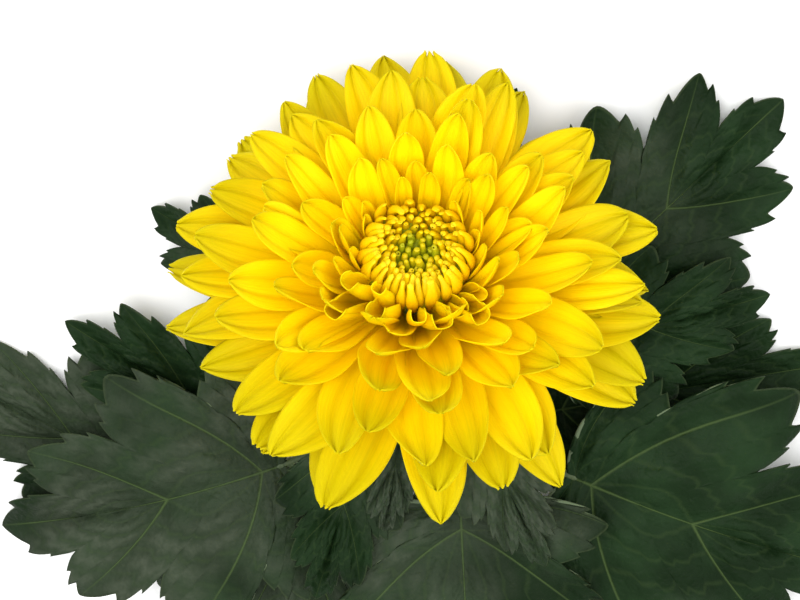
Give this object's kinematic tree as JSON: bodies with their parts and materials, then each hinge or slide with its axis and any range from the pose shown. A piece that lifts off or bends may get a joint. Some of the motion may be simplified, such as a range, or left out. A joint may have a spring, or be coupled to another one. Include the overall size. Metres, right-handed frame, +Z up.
{
  "type": "disbud chrysanthemum",
  "caption": "Cut flower lying down: one large many-petalled bloom on a leafy stem with lobed, toothed leaves, its neck curving up so that the bloom faces up and forward.",
  "frame": {"origin": "on the surface it lies on, below the middle of the flower's bounding box", "axes": "+Z up, +Y along the stem from its cut end to the bloom, +X to the right seen from above with the bloom at the far end"},
  "size_m": [0.2522, 0.339, 0.0973],
  "materials": {
    "ray_petals": "soft satin petal, bright lemon yellow deepening to orange yellow at its base",
    "centre_florets": "soft satin, yellow outside and yellow green in the middle",
    "calyx": "matte grey green, slightly downy",
    "stem": "matte green, ribbed",
    "leaves": "dark grey green satin with paler veins"
  },
  "bodies": {
    "root": {"ray_petals": "ray_petals", "centre_florets": "centre_florets", "calyx": "calyx", "stem": "stem", "leaf_01": "leaves", "leaf_02": "leaves", "leaf_03": "leaves", "leaf_04": "leaves", "leaf_05": "leaves", "leaf_06": "leaves", "leaf_07": "leaves", "leaf_08": "leaves", "leaf_09": "leaves", "leaf_10": "leaves", "leaf_11": "leaves", "leaf_12": "leaves", "leaf_13": "leaves", "leaf_14": "leaves", "leaf_15": "leaves", "leaf_16": "leaves"}
  },
  "joints": []
}
